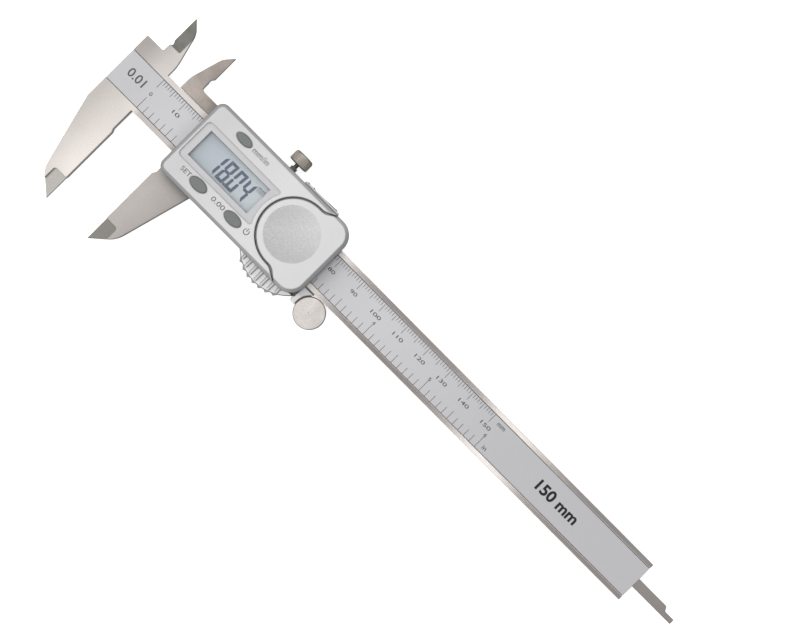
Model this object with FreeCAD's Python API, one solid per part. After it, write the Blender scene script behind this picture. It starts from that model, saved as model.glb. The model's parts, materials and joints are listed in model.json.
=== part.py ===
"""A 150 mm digital caliper: a graduated beam with fixed jaws, and a slider with its moving jaws, display,
battery, buttons, thumb roller, lock screw and depth rod.

Lengths are millimetres. x runs along the beam from the measuring face of the fixed outside jaw towards the
tail, y runs across the beam from its centre line towards the inside jaws, and z rises from the slider's back
towards the display. The solids are moved once, when they are written, so that the stored frame's origin is
the centre of the bottom of the whole caliper's box.
"""

import FreeCAD
import Part
import math
import os

V = FreeCAD.Vector

# The opening the caliper is stored at, from the fixed to the moving outside jaw.
OPENING = 18.04

# Beam.
BEAM_HALF = 8.0
BEAM_END = 220.7
HEAD_LEFT = -13.6
BEAM_BACK = 1.7
BEAM_FRONT = BEAM_BACK + 3.5
LABEL_HALF = 6.1
LABEL_THICK = 0.12
STRIP_THICK = 0.7
RECESS_HALF = LABEL_HALF + 0.2
RECESS_FLOOR = BEAM_FRONT - 0.9

# Jaws. The inside jaws pass each other like scissors: one is the front half, the other the rear half.
OUTSIDE_REACH = -46.8
INSIDE_REACH = 27.1
JAW_SPLIT = 3.45
JAW_PASS_GAP = 0.05
KNIFE_TOP = -37.65
KNIFE_THIN = 1.2
KNIFE_WIDTH = 4.8
JAW_NOSE_ROUND = 9.0
INSIDE_STEP = 15.5
INSIDE_GRIND = 0.65
INSIDE_BASE = 12.5
MOVING_INSIDE_LOW = 8.2

# Slider frame: a channel round the beam, with a gib strip along its upper side.
PLATE_THICK = 1.6
FRAME_LEFT = 18.8
FRAME_RIGHT = 77.6
FRAME_HALF = 13.4
FRAME_FRONT = BEAM_FRONT + 0.2
FRAME_CORNER = 0.8
FRAME_TAIL_CORNER = 5.0
GIB_INNER = BEAM_HALF + 0.05
GIB_OUTER = BEAM_HALF + 0.95
LOWER_GUIDE = -BEAM_HALF - 0.08

# Housing outline and levels.
HOUSING_LEFT = 18.5
HOUSING_RIGHT = 77.9
HOUSING_LOW = -14.4
HOUSING_HIGH = 14.8
LEFT_CORNER = 2.75
RIGHT_CORNER = 5.9
BASE_TOP = 7.0
COVER_BACK = 7.4
HOUSING_TOP = 13.6
TOP_BEVEL = 1.2
BEVEL_ROUND = 0.4
WALL = 1.4
CEILING = 12.0

# Display.
WINDOW_LEFT = 20.5
WINDOW_LOW = -6.8
WINDOW_HIGH = 7.3
WINDOW_ARC = 13.7
WINDOW_ROUND = 1.4
WINDOW_HORN = 0.7
WINDOW_BACK = 12.25
WINDOW_FRONT = 13.45
VIEW_OPENING = (22.0, 49.9, -5.7, 6.3)
LCD = (21.7, 50.2, -6.2, 6.9)
LCD_BACK = 10.0
LCD_FRONT = 11.6
LCD_LEDGE = 0.9
HOLDER_EDGE = 0.55

# Circuit board, directly over the graduated beam.
BOARD = (21.0, 75.8, -12.4, 12.4)
BOARD_BACK = FRAME_FRONT
BOARD_FRONT = BOARD_BACK + 0.8
CHIP_X = 36.3
CHIP_Y = 0.3
CHIP_RADIUS = 3.2
CHIP_HIGH = 1.3

# Battery, a standard 20 x 3.2 mm coin cell, and the lid over it.
CELL_X = 64.1
CELL_Y = 0.5
CELL_RADIUS = 10.0
CELL_BACK = 7.6
CELL_FRONT = CELL_BACK + 3.2
WELL_RADIUS = 10.35
LID_RADIUS = 11.55
LID_GAP = 0.72
LID_BACK = 11.85
LID_SEAT = 11.78
LID_FLARE_START = 66.2
LID_FLARE_END = 70.3
DISH_X = CELL_X - 0.6
DISH_RADIUS = 9.25
DISH_DEPTH = 0.7
DECK_BACK = 10.9
TONGUE_OFFSET = 7.6
TONGUE_LEFT = 73.4
SEAL_RADIUS = 11.05
SEAL_WIRE = 0.28

# Buttons: name, centre x, centre y, half length, half height.
BUTTONS = (
    ("units", 32.2, 10.75, 2.98, 1.35),
    ("abs", 31.95, -9.35, 3.18, 1.68),
    ("zero", 47.05, -9.35, 3.18, 1.68),
)
BUTTON_GAP = 0.22
BUTTON_FRONT = 13.95
BUTTON_FLANGE = 0.65
FLANGE_BACK = 10.9
FLANGE_FRONT = 11.5
BUTTON_STEM = 1.0
BUTTON_STEM_END = 7.75
SWITCH_FRONT = 7.1

# Lock screw, across the upper rail.
LOCK_X = 48.6
LOCK_Z = 3.9
LOCK_SHANK = 0.85
LOCK_NECK = 0.72
LOCK_HEAD = 3.52
LOCK_HEAD_START = 17.2
LOCK_HEAD_END = 21.1
LOCK_BUSH = 1.2
LOCK_BUSH_END = 16.0
LOCK_KNURLS = 30

# Thumb roller, rolling on the beam's lower edge.
ROLLER_RADIUS = 5.4
ROLLER_X = 84.8
ROLLER_Y = -BEAM_HALF - 0.1 - ROLLER_RADIUS
ROLLER_BACK = 1.9
ROLLER_FRONT = 5.3
ROLLER_KNURLS = 72
AXLE_RADIUS = 1.2
AXLE_FRONT = 4.2

# Thumb rest, an arched ribbed grip on the lower rail.
REST_RADIUS = 15.5
REST_X = 65.2
REST_Y = -3.45
REST_BACK = 0.5
REST_FRONT = 5.3
RIB_PITCH = 2.53
RIB_COUNT = 7
RIB_FOOT = 0.58
RIB_CREST = 0.34
RIB_HIGH = 0.6
TOOTH_HALF = 1.12
TOOTH_DEEP = 0.8

# Depth rod, in a groove along the back of the beam.
ROD_Y = -0.2
ROD_HALF = 1.73
ROD_BACK = BEAM_BACK + 0.05
ROD_FRONT = ROD_BACK + 1.4
ROD_START = 52.0
ROD_END = BEAM_END + OPENING
ROD_TIP_LENGTH = 4.9
ROD_TIP_TOP = 0.0
GROOVE_HALF = 1.9
GROOVE_TOP = 3.3

# Data port on the housing's upper side.
PORT = (54.7, 69.3, 7.65, 11.3)
PORT_RIM = 0.6
PORT_PROUD = 0.8

# Screws.
HOUSING_SCREWS = ((23.2, 11.0), (23.2, -11.0), (73.9, 11.0), (73.9, -11.0))
BOARD_SCREWS = ((26.6, 11.2), (26.6, -11.2), (54.4, 11.2), (54.4, -11.2))
GIB_SCREW_X = (30.0, 68.0)
STOP_LEFT = 211.9
STOP_RIGHT = 219.9
STOP_HALF = 7.2
STOP_SCREW_Y = 5.0
BRACKET_SCREWS = ((79.2, -10.0), (78.0, -14.0))
BRACKET_LEFT = 77.2
BRACKET_LOW = -14.9
BRACKET_CORNER = 75.4
BRACKET_CORNER_TOP = -9.5
WIPER_HIGH = 0.5
WIPER_RIGHT = 81.8
ROD_SCREW_X = 56.0
THREAD_GAP = 0.03

# Centre of the whole caliper's box, which becomes the stored origin.
CENTRE_X = (HEAD_LEFT + ROD_END) / 2
CENTRE_Y = (OUTSIDE_REACH + INSIDE_REACH) / 2


# Building blocks ------------------------------------------------------------


def outline(corners):
    """A flat face at z = 0 through corners (x, y, radius), each rounded by an arc of its radius."""
    points = [V(x, y, 0) for x, y, _ in corners]
    spans = []
    for i, (_, _, radius) in enumerate(corners):
        here = points[i]
        if radius == 0:
            spans.append((here, None, here))
            continue
        back = (points[i - 1] - here).normalize()
        ahead = (points[(i + 1) % len(points)] - here).normalize()
        half = back.getAngle(ahead) / 2
        inward = (back + ahead).normalize()
        reach = radius / math.tan(half)
        middle = here + inward * (radius / math.sin(half) - radius)
        spans.append((here + back * reach, middle, here + ahead * reach))
    edges = []
    for i, (start, middle, end) in enumerate(spans):
        if middle is not None:
            edges.append(Part.Arc(start, middle, end).toShape())
        following = spans[(i + 1) % len(spans)][0]
        if end.distanceToPoint(following) > 1e-6:
            edges.append(Part.LineSegment(end, following).toShape())
    return Part.Face(Part.Wire(edges))


def slab(corners, z0, z1):
    """The outline raised from z0 to z1."""
    face = outline(corners)
    face.translate(V(0, 0, z0))
    return face.extrude(V(0, 0, z1 - z0))


def box(x0, x1, y0, y1, z0, z1):
    return Part.makeBox(x1 - x0, y1 - y0, z1 - z0, V(x0, y0, z0))


def post(x, y, radius, z0, z1):
    """A round bar along z."""
    return Part.makeCylinder(radius, z1 - z0, V(x, y, z0))


def crossbar(x, z, radius, y0, y1):
    """A round bar along y."""
    return Part.makeCylinder(radius, y1 - y0, V(x, y0, z), V(0, 1, 0))


def oval(x, y, half_long, half_high, z0, z1):
    """An upright elliptical bar, longer in x."""
    curve = Part.Ellipse(V(x, y, z0), half_long, half_high).toShape()
    return Part.Face(Part.Wire(curve)).extrude(V(0, 0, z1 - z0))


def rounded_box(x0, x1, y0, y1, z0, z1, radius):
    corners = ((x0, y0, radius), (x1, y0, radius), (x1, y1, radius), (x0, y1, radius))
    return slab(corners, z0, z1)


def edges_at(shape, z, reach=1e-4):
    """The edges that lie wholly at one level."""
    return [e for e in shape.Edges if abs(e.BoundBox.ZMin - z) < reach and abs(e.BoundBox.ZMax - z) < reach]


def round_level(shape, z, radius):
    return shape.makeFillet(radius, edges_at(shape, z))


def cap_screw(x, y, head, shank, z0, z_neck, z1):
    """A slotted flat-headed screw standing on its head, put in from the back."""
    screw = post(x, y, head, z0, z_neck).fuse(post(x, y, shank, z_neck, z1))
    slot = box(x - head, x + head, y - 0.2, y + 0.2, z0, z0 + 0.3)
    return screw.cut(slot).removeSplitter()


def screw_hole(x, y, head, shank, z0, z_neck, z1):
    """The stepped hole such a screw goes in."""
    return post(x, y, head + 0.1, z0, z_neck).fuse(post(x, y, shank + THREAD_GAP, z_neck, z1))


# Beam -----------------------------------------------------------------------


def outside_jaw(face_x, relief, outer_x, away):
    """One outside jaw's plan. away is -1 for the fixed jaw, which lies to the left of its face, else 1."""
    nose_x = face_x + away * 6.83
    return (
        (face_x + away * relief, -BEAM_HALF + 1, 0),
        (face_x + away * relief, -16.2, 0),
        (face_x, -17.3, 0),
        (face_x, OUTSIDE_REACH, 0),
        (nose_x, -40.7, JAW_NOSE_ROUND),
        (outer_x, -14.4, 4.0),
        (outer_x, -BEAM_HALF + 1, 0),
    )


def knife_pockets(face_x, away):
    """What is ground away from both sides of an outside jaw's tip to leave a thin blade."""
    x0 = face_x + away * KNIFE_WIDTH
    x1 = face_x - away
    below = OUTSIDE_REACH - 1
    corners = ((x0, KNIFE_TOP, 0.9), (x1, KNIFE_TOP, 0), (x1, below, 0), (x0, below, 0))
    front = slab(corners, BEAM_FRONT - KNIFE_THIN, BEAM_FRONT + 1)
    rear = slab(corners, BEAM_BACK - 1, BEAM_BACK + KNIFE_THIN)
    return front.fuse(rear)


def fixed_inside_jaw():
    """The fixed inside jaw, the front half of the head's thickness."""
    plan = (
        (HEAD_LEFT, BEAM_HALF - 1, 0),
        (HEAD_LEFT, INSIDE_BASE, 0.4),
        (-6.7, INSIDE_BASE, 0.6),
        (-6.7, INSIDE_STEP, 0.25),
        (-6.1, 15.8, 0.2),
        (-6.1, 16.6, 0.3),
        (-6.6, 17.4, 0),
        (-6.6, INSIDE_REACH - 0.1, 0),
        (-6.5, INSIDE_REACH, 0),
        (-3.05, 23.55, 6.0),
        (-0.1, 12.0, 14.0),
        (-0.1, BEAM_HALF - 1, 0),
    )
    jaw = slab(plan, JAW_SPLIT + JAW_PASS_GAP, BEAM_FRONT)
    ground = rounded_box(-9, -2.5, INSIDE_STEP, 30, BEAM_FRONT - INSIDE_GRIND, BEAM_FRONT + 1, 0.4)
    return jaw.cut(ground)


def beam_with_fixed_jaws():
    """The hardened beam, its head and both fixed jaws, which are one piece of steel."""
    body = box(HEAD_LEFT, BEAM_END, -BEAM_HALF, BEAM_HALF, BEAM_BACK, BEAM_FRONT)
    body = body.fuse(slab(outside_jaw(0, 0.5, HEAD_LEFT, -1), BEAM_BACK, BEAM_FRONT))
    body = body.fuse(fixed_inside_jaw())
    body = body.cut(knife_pockets(0, -1))
    recess = box(HEAD_LEFT - 1, BEAM_END + 1, -RECESS_HALF, RECESS_HALF, RECESS_FLOOR, BEAM_FRONT + 1)
    groove_start = ROD_START - OPENING - 1
    groove = box(groove_start, BEAM_END + 1, ROD_Y - GROOVE_HALF, ROD_Y + GROOVE_HALF, 0, GROOVE_TOP)
    body = body.cut(recess).cut(groove)
    for side in (-1, 1):
        x = (STOP_LEFT + STOP_RIGHT) / 2
        body = body.cut(post(x, side * STOP_SCREW_Y, 0.95 + THREAD_GAP, BEAM_BACK - 1, BEAM_BACK + 2))
    return body.removeSplitter()


def scale_strip():
    """The glass-fibre strip with the position electrodes, bonded in the beam's front recess."""
    return box(HEAD_LEFT, BEAM_END, -LABEL_HALF, LABEL_HALF, RECESS_FLOOR, RECESS_FLOOR + STRIP_THICK)


def scale_label():
    """The printed film over the strip."""
    back = RECESS_FLOOR + STRIP_THICK
    return box(HEAD_LEFT + 0.1, BEAM_END - 0.1, -LABEL_HALF, LABEL_HALF, back, back + LABEL_THICK)


def end_stop_plate():
    """The plate behind the beam's tail that stops the slider and keeps the rod in its groove."""
    x = (STOP_LEFT + STOP_RIGHT) / 2
    plate = rounded_box(STOP_LEFT, STOP_RIGHT, -STOP_HALF, STOP_HALF, 0, BEAM_BACK, 1.2)
    for side in (-1, 1):
        plate = plate.cut(screw_hole(x, side * STOP_SCREW_Y, 1.7, 0.95, -0.1, 0.9, BEAM_BACK + 0.1))
    return plate


def end_stop_screw(side):
    x = (STOP_LEFT + STOP_RIGHT) / 2
    return cap_screw(x, side * STOP_SCREW_Y, 1.7, 0.95, 0.1, 0.9, BEAM_BACK + 1.8)


# Slider frame ----------------------------------------------------------------


def moving_inside_jaw():
    """The moving inside jaw, the rear half of the thickness."""
    plan = (
        (5.0, MOVING_INSIDE_LOW, 0.3),
        (5.0, 12.9, 8.0),
        (8.1, 23.9, 5.0),
        (10.9, INSIDE_REACH, 0),
        (11.04, INSIDE_REACH - 0.15, 0),
        (11.04, 17.6, 0),
        (10.3, 16.7, 0.3),
        (10.3, INSIDE_BASE, 0.8),
        (FRAME_LEFT + 1, INSIDE_BASE, 0),
        (FRAME_LEFT + 1, GIB_OUTER + 0.15, 0),
        (FRAME_LEFT, GIB_OUTER + 0.15, 0),
        (FRAME_LEFT, MOVING_INSIDE_LOW, 0),
    )
    jaw = slab(plan, BEAM_BACK, JAW_SPLIT - JAW_PASS_GAP)
    ground = rounded_box(7.0, 14, INSIDE_STEP, 30, BEAM_BACK - 1, BEAM_BACK + INSIDE_GRIND, 0.4)
    return jaw.cut(ground)


def roller_tongue():
    """The part of the back plate that reaches under the thumb roller."""
    arm = box(FRAME_RIGHT - 3, ROLLER_X, -FRAME_HALF, -9.2, 0, PLATE_THICK)
    foot = box(BRACKET_LEFT, ROLLER_X, BRACKET_LOW + 0.2, -9.2, 0, PLATE_THICK)
    return arm.fuse(foot).fuse(post(ROLLER_X, ROLLER_Y, 3.6, 0, PLATE_THICK))


def channel(grow, z1):
    """The channel's plan raised to z1, with its tail corners rounded like the housing's."""
    x0, x1, half = FRAME_LEFT - grow, FRAME_RIGHT + grow, FRAME_HALF + grow
    near, far = FRAME_CORNER, FRAME_TAIL_CORNER + grow
    return slab(((x0, -half, near), (x1, -half, far), (x1, half, far), (x0, half, near)), 0, z1)


def slider_frame():
    """The steel channel that rides on the beam, with both moving jaws."""
    x0, x1, half = FRAME_LEFT, FRAME_RIGHT, FRAME_HALF
    rail_back = PLATE_THICK - 0.4
    upper_rail = box(x0, x1, GIB_OUTER + 0.05, half, rail_back, FRAME_FRONT)
    lower_rail = box(x0, x1, -half, LOWER_GUIDE, rail_back, FRAME_FRONT)
    rails = upper_rail.fuse(lower_rail).common(channel(0, FRAME_FRONT))
    body = channel(0, PLATE_THICK).fuse(rails)
    jaw = slab(outside_jaw(OPENING, 0.75, 31.9, 1), BEAM_BACK, BEAM_FRONT)
    clear_of_beam = box(x0 - 2, 40, LOWER_GUIDE, 0, 0, BEAM_FRONT + 1)
    jaw = jaw.cut(clear_of_beam).cut(knife_pockets(OPENING, 1))
    body = body.fuse(jaw).fuse(moving_inside_jaw()).fuse(roller_tongue())
    body = body.cut(crossbar(LOCK_X, LOCK_Z, LOCK_SHANK + 0.05, GIB_INNER, half + 1))
    for x in GIB_SCREW_X:
        body = body.cut(crossbar(x, LOCK_Z, 1.0, GIB_INNER, half + 1))
    for x, y in HOUSING_SCREWS:
        body = body.cut(screw_hole(x, y, 1.6, 0.85, -0.1, 1.0, FRAME_FRONT + 1))
    for x, y in BOARD_SCREWS:
        body = body.cut(post(x, y, 0.6 + THREAD_GAP, FRAME_FRONT - 2, FRAME_FRONT + 1))
    for x, y in BRACKET_SCREWS:
        body = body.cut(screw_hole(x, y, 1.0, 0.55, -0.1, 0.7, PLATE_THICK + 0.1))
    body = body.cut(screw_hole(ROD_SCREW_X, ROD_Y, 1.4, 0.8, -0.1, 0.8, PLATE_THICK + 0.1))
    body = body.cut(post(ROLLER_X, ROLLER_Y, 0.8, -1, PLATE_THICK + 1))
    body = body.cut(rest_tongue(0.05))
    return body.removeSplitter()


def gib_strip():
    """The brass strip that takes up play between the beam and the upper rail."""
    return box(FRAME_LEFT + 1.2, FRAME_RIGHT - 1.2, GIB_INNER, GIB_OUTER, BEAM_BACK + 0.1, BEAM_FRONT - 0.1)


def gib_screw(x):
    """A slotted grub screw through the upper rail, bearing on the gib strip."""
    screw = crossbar(x, LOCK_Z, 1.0 - THREAD_GAP, GIB_OUTER, FRAME_HALF - 0.15)
    slot = box(x - 1.2, x + 1.2, FRAME_HALF - 0.7, FRAME_HALF, LOCK_Z - 0.17, LOCK_Z + 0.17)
    return screw.cut(slot)


def depth_rod():
    """The flat rod fixed to the slider, flush with the beam's tail when the jaws are shut."""
    low = ROD_Y - ROD_HALF
    high = ROD_Y + ROD_HALF
    tip = ROD_END - ROD_TIP_LENGTH
    plan = (
        (ROD_START, low, 0.5),
        (ROD_END, low, 0),
        (ROD_END, ROD_TIP_TOP, 0),
        (tip + 0.9, ROD_TIP_TOP, 0.5),
        (tip, high, 0.3),
        (ROD_START, high, 0.5),
    )
    rod = slab(plan, ROD_BACK, ROD_FRONT)
    pad = box(ROD_START + 0.5, ROD_START + 8, low, high, PLATE_THICK, ROD_BACK)
    hole = post(ROD_SCREW_X, ROD_Y, 0.8 + THREAD_GAP, PLATE_THICK - 0.1, ROD_FRONT - 0.2)
    return rod.fuse(pad).cut(hole).removeSplitter()


def depth_rod_screw():
    return cap_screw(ROD_SCREW_X, ROD_Y, 1.4, 0.8, 0.1, 0.8, ROD_FRONT - 0.35)


# Housing ---------------------------------------------------------------------


def housing_corners(inset):
    x0, x1 = HOUSING_LEFT + inset, HOUSING_RIGHT - inset
    y0, y1 = HOUSING_LOW + inset, HOUSING_HIGH - inset
    left = max(LEFT_CORNER - inset, 0.5)
    right = RIGHT_CORNER - inset
    return ((x0, y0, left), (x1, y0, right), (x1, y1, right), (x0, y1, left))


def housing_block():
    """The cover's outer shape, bevelled round its face, before anything is taken out of it."""
    block = slab(housing_corners(0), COVER_BACK, HOUSING_TOP)
    block = block.makeChamfer(TOP_BEVEL, edges_at(block, HOUSING_TOP))
    return round_level(block, HOUSING_TOP, BEVEL_ROUND)


def lid_region(gap, z0, z1):
    """Where the battery lid lies: a round left end that flares out to the housing's full width."""
    radius = LID_RADIUS + gap
    low, high = CELL_Y - radius, CELL_Y + radius
    far = HOUSING_RIGHT + 5
    start, end = LID_FLARE_START - gap, LID_FLARE_END - gap
    band = slab(
        (
            (CELL_X, low, 0),
            (start, low, 4.0),
            (end, HOUSING_LOW, 1.2),
            (end + 0.6, HOUSING_LOW - 3, 0),
            (far, HOUSING_LOW - 3, 0),
            (far, HOUSING_HIGH + 3, 0),
            (end + 0.6, HOUSING_HIGH + 3, 0),
            (end, HOUSING_HIGH, 1.2),
            (start, high, 4.0),
            (CELL_X, high, 0),
        ),
        z0,
        z1,
    )
    return band.fuse(post(CELL_X, CELL_Y, radius, z0, z1))


def window_shape(grow, z0, z1):
    """The display window's plan: square on the left and hollowed on the right, round the battery lid."""
    x0, y0, y1 = WINDOW_LEFT - grow, WINDOW_LOW - grow, WINDOW_HIGH + grow
    x1 = CELL_X - WINDOW_ARC / 2
    sheet = slab(((x0, y0, WINDOW_ROUND), (x1, y0, 0), (x1, y1, 0), (x0, y1, WINDOW_ROUND)), z0, z1)
    sheet = sheet.cut(post(CELL_X, CELL_Y, WINDOW_ARC - grow, z0 - 1, z1 + 1))
    upright = [e for e in sheet.Edges if e.BoundBox.ZLength > z1 - z0 - 1e-4]
    horns = [e for e in upright if e.BoundBox.XMin > CELL_X - WINDOW_ARC and e.BoundBox.XLength < 1e-4]
    return sheet.makeFillet(WINDOW_HORN, horns)


def tongue(side, grow):
    """A T-shaped foot under the lid's free end, or the slot for it when grown."""
    y = CELL_Y + side * TONGUE_OFFSET
    right = HOUSING_RIGHT - 0.4 + 5 * grow
    left = TONGUE_LEFT - grow
    narrow = 0.6 + grow
    wide = 1.3 + grow
    neck = box(left, right, y - narrow, y + narrow, DECK_BACK - 0.1 - grow, LID_BACK + 0.2)
    foot = box(left, right, y - wide, y + wide, DECK_BACK - 0.7 - grow, DECK_BACK - 0.05)
    return neck.fuse(foot)


def port_hole(grow, y0, y1):
    x0, x1, z0, z1 = PORT
    rim = PORT_RIM - grow
    return box(x0 + rim, x1 - rim, y0, y1, z0 + rim, z1 - rim)


def housing_base():
    """The plastic frame that closes the housing against the slider's rails."""
    body = slab(housing_corners(0), FRAME_FRONT, BASE_TOP)
    x0, x1, y0, y1 = BOARD
    body = body.cut(rounded_box(x0 - 0.3, x1 + 0.3, y0 - 0.3, y1 + 0.3, FRAME_FRONT - 1, BASE_TOP + 1, 0.4))
    return body


def housing_gasket():
    """The dark rubber seal between the base and the cover."""
    return slab(housing_corners(0.35), BASE_TOP, COVER_BACK).cut(
        slab(housing_corners(1.25), BASE_TOP - 1, COVER_BACK + 1)
    )


def housing_cover():
    """The top shell, open for the window, the buttons, the battery lid and the data port."""
    body = housing_block()
    body = body.cut(lid_region(LID_GAP, LID_SEAT, HOUSING_TOP + 1))
    body = body.cut(slab(housing_corners(WALL), COVER_BACK - 1, DECK_BACK))
    front_room = slab(housing_corners(WALL), DECK_BACK - 0.5, CEILING)
    body = body.cut(front_room.common(box(0, CELL_X - LID_RADIUS - 1.0, -20, 20, 0, 20)))
    bosses = [post(x, y, 2.1, COVER_BACK, DECK_BACK + 0.2) for x, y in HOUSING_SCREWS]
    left_bosses = [post(x, y, 2.1, COVER_BACK, CEILING + 0.2) for x, y in HOUSING_SCREWS[:2]]
    for boss in bosses + left_bosses:
        body = body.fuse(boss)
    for x, y in HOUSING_SCREWS:
        body = body.cut(post(x, y, 0.85 + THREAD_GAP, COVER_BACK - 1, DECK_BACK - 0.6))
    body = body.cut(post(CELL_X, CELL_Y, WELL_RADIUS, DECK_BACK - 1, LID_BACK))
    ring = Part.makeTorus(SEAL_RADIUS, SEAL_WIRE + 0.02, V(CELL_X, CELL_Y, LID_SEAT - SEAL_WIRE))
    body = body.cut(ring).cut(
        post(CELL_X, CELL_Y, SEAL_RADIUS + SEAL_WIRE, LID_SEAT - SEAL_WIRE, LID_BACK).cut(
            post(CELL_X, CELL_Y, SEAL_RADIUS - SEAL_WIRE, LID_SEAT - 1, LID_BACK + 1)
        )
    )
    for side in (-1, 1):
        body = body.cut(tongue(side, 0.12))
    body = body.cut(window_shape(0.08, WINDOW_BACK, HOUSING_TOP + 1))
    body = body.cut(rounded_box(*VIEW_OPENING, CEILING - 1, WINDOW_BACK + 0.1, 0.6))
    for _, x, y, a, b in BUTTONS:
        body = body.cut(oval(x, y, a + BUTTON_GAP, b + BUTTON_GAP, CEILING - 1, HOUSING_TOP + 1))
    body = body.cut(port_hole(0, HOUSING_HIGH - WALL - 1, HOUSING_HIGH + 1))
    return body.removeSplitter()


def housing_screw(x, y):
    """One of four screws that hold the cover and base down on the slider frame."""
    return cap_screw(x, y, 1.6, 0.85, 0.1, 1.0, DECK_BACK - 1.0)


# Display and electronics --------------------------------------------------------


def display_window():
    """The clear window, set just below the cover's face."""
    return round_level(window_shape(0, WINDOW_BACK, WINDOW_FRONT), WINDOW_FRONT, 0.15)


def lcd_glass():
    """The two-layer liquid crystal panel; the rear glass is longer and carries the contacts."""
    x0, x1, y0, y1 = LCD
    middle = (LCD_BACK + LCD_FRONT) / 2
    rear = box(x0, x1, y0, y1, LCD_BACK, middle)
    front = box(x0, x1, y0 + LCD_LEDGE, y1 - LCD_LEDGE, middle, LCD_FRONT)
    return rear.fuse(front).removeSplitter()


def lcd_holder():
    """The frame that carries the panel above the board, with a slot down each side for a connector."""
    x0, x1, y0, y1 = LCD
    e = HOLDER_EDGE
    frame = box(x0 - e, x1 + e, y0 - e, y1 + e, BOARD_FRONT, LCD_FRONT - 0.1)
    frame = frame.cut(box(x0, x1, y0, y1, LCD_BACK, LCD_FRONT))
    frame = frame.cut(box(x0 + 1, x1 - 1, y0 + 2.2, y1 - 2.2, BOARD_FRONT - 1, LCD_BACK + 1))
    for side in (-1, 1):
        frame = frame.cut(connector_room(side, 0.05))
    return frame


def connector_room(side, grow):
    x0, x1, y0, y1 = LCD
    y = y1 - 0.8 if side > 0 else y0 + 0.8
    return box(x0 + 1 - grow, x1 - 1 + grow, y - 0.5 - grow, y + 0.5 + grow, BOARD_FRONT, LCD_BACK)


def panel_connector(side):
    """A strip of conductive rubber between the board and the panel."""
    return connector_room(side, 0)


def sensor_board():
    """The circuit board whose underside reads the beam's electrodes."""
    x0, x1, y0, y1 = BOARD
    board = rounded_box(x0, x1, y0, y1, BOARD_BACK, BOARD_FRONT, 0.5)
    for x, y in HOUSING_SCREWS:
        board = board.cut(post(x, y, 1.0, BOARD_BACK - 1, BOARD_FRONT + 1))
    for x, y in BOARD_SCREWS:
        board = board.cut(post(x, y, 0.75, BOARD_BACK - 1, BOARD_FRONT + 1))
    return board


def board_screw(x, y):
    """A screw that holds the board to a rail, its head on the board's front."""
    shank = post(x, y, 0.6, FRAME_FRONT - 1.8, BOARD_FRONT)
    head = round_level(post(x, y, 1.1, BOARD_FRONT, BOARD_FRONT + 0.6), BOARD_FRONT + 0.6, 0.2)
    slot = box(x - 1.2, x + 1.2, y - 0.13, y + 0.13, BOARD_FRONT + 0.35, BOARD_FRONT + 1)
    return shank.fuse(head).cut(slot).removeSplitter()


def processor_blob():
    """The resin-covered measuring chip, between the board and the panel."""
    crown = BOARD_FRONT + CHIP_HIGH
    return round_level(post(CHIP_X, CHIP_Y, CHIP_RADIUS, BOARD_FRONT, crown), crown, 0.9)


def dome_switch(x, y):
    """The snap switch under one button."""
    base = rounded_box(x - 1.7, x + 1.7, y - 1.3, y + 1.3, BOARD_FRONT, BOARD_FRONT + 0.4, 0.3)
    dome = round_level(post(x, y, 1.1, BOARD_FRONT + 0.4, SWITCH_FRONT), SWITCH_FRONT, 0.35)
    return base.fuse(dome).removeSplitter()


def battery():
    """The coin cell: a wide can with a narrower cap towards the board."""
    can = round_level(post(CELL_X, CELL_Y, CELL_RADIUS, CELL_BACK + 0.5, CELL_FRONT), CELL_FRONT, 0.4)
    return can.fuse(post(CELL_X, CELL_Y, CELL_RADIUS - 1.2, CELL_BACK, CELL_BACK + 0.5)).removeSplitter()


def battery_contact_negative():
    """The bent leaf on the board that presses on the cell's cap."""
    foot = box(CELL_X - 7, CELL_X - 3, CELL_Y - 1.5, CELL_Y + 1.5, BOARD_FRONT, BOARD_FRONT + 0.25)
    rise = CELL_BACK - BOARD_FRONT - 0.25
    plan = ((-3.2, 0), (-3.2, 0.25), (2.4, rise), (4.2, rise), (4.2, rise - 0.25), (2.6, rise - 0.25))
    points = [V(CELL_X + x, CELL_Y - 1.2, BOARD_FRONT + 0.12 + z) for x, z in plan]
    leaf = Part.Face(Part.makePolygon(points + points[:1])).extrude(V(0, 2.4, 0))
    return foot.fuse(leaf).removeSplitter()


def battery_contact_positive():
    """The upright clip that touches the side of the cell's can."""
    wall = CELL_X - CELL_RADIUS - 0.02
    upright = box(wall - 0.3, wall, CELL_Y - 2.2, CELL_Y + 2.2, BOARD_FRONT, CELL_FRONT - 0.5)
    foot = box(wall - 1.8, wall, CELL_Y - 2.2, CELL_Y + 2.2, BOARD_FRONT, BOARD_FRONT + 0.3)
    return upright.fuse(foot).removeSplitter()


def battery_seal():
    """The round-section rubber ring in the deck under the lid."""
    return Part.makeTorus(SEAL_RADIUS, SEAL_WIRE, V(CELL_X, CELL_Y, LID_SEAT - SEAL_WIRE))


def data_connector():
    """The contact block behind the data port's cover, with its row of contact blades."""
    x0, x1, z0, z1 = PORT
    block = box(x0 + 2.2, x1 - 2.2, 11.2, 12.3, BOARD_FRONT, z1 - 1.0)
    for i in range(5):
        x = x0 + 3.4 + 1.95 * i
        block = block.fuse(box(x - 0.4, x + 0.4, 12.2, 12.65, z0 + 0.9, z1 - 1.3))
    return block.removeSplitter()


# Moving pieces of the slider ------------------------------------------------------


def battery_cover():
    """The battery lid, which forms the housing's whole right end and slides off along the beam."""
    lid = lid_region(0, LID_BACK, HOUSING_TOP).common(housing_block())
    ball = (DISH_RADIUS**2 + DISH_DEPTH**2) / (2 * DISH_DEPTH)
    lid = lid.cut(Part.makeSphere(ball, V(DISH_X, CELL_Y, HOUSING_TOP - DISH_DEPTH + ball)))
    for side in (-1, 1):
        lid = lid.fuse(tongue(side, 0))
    return lid.removeSplitter()


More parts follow.
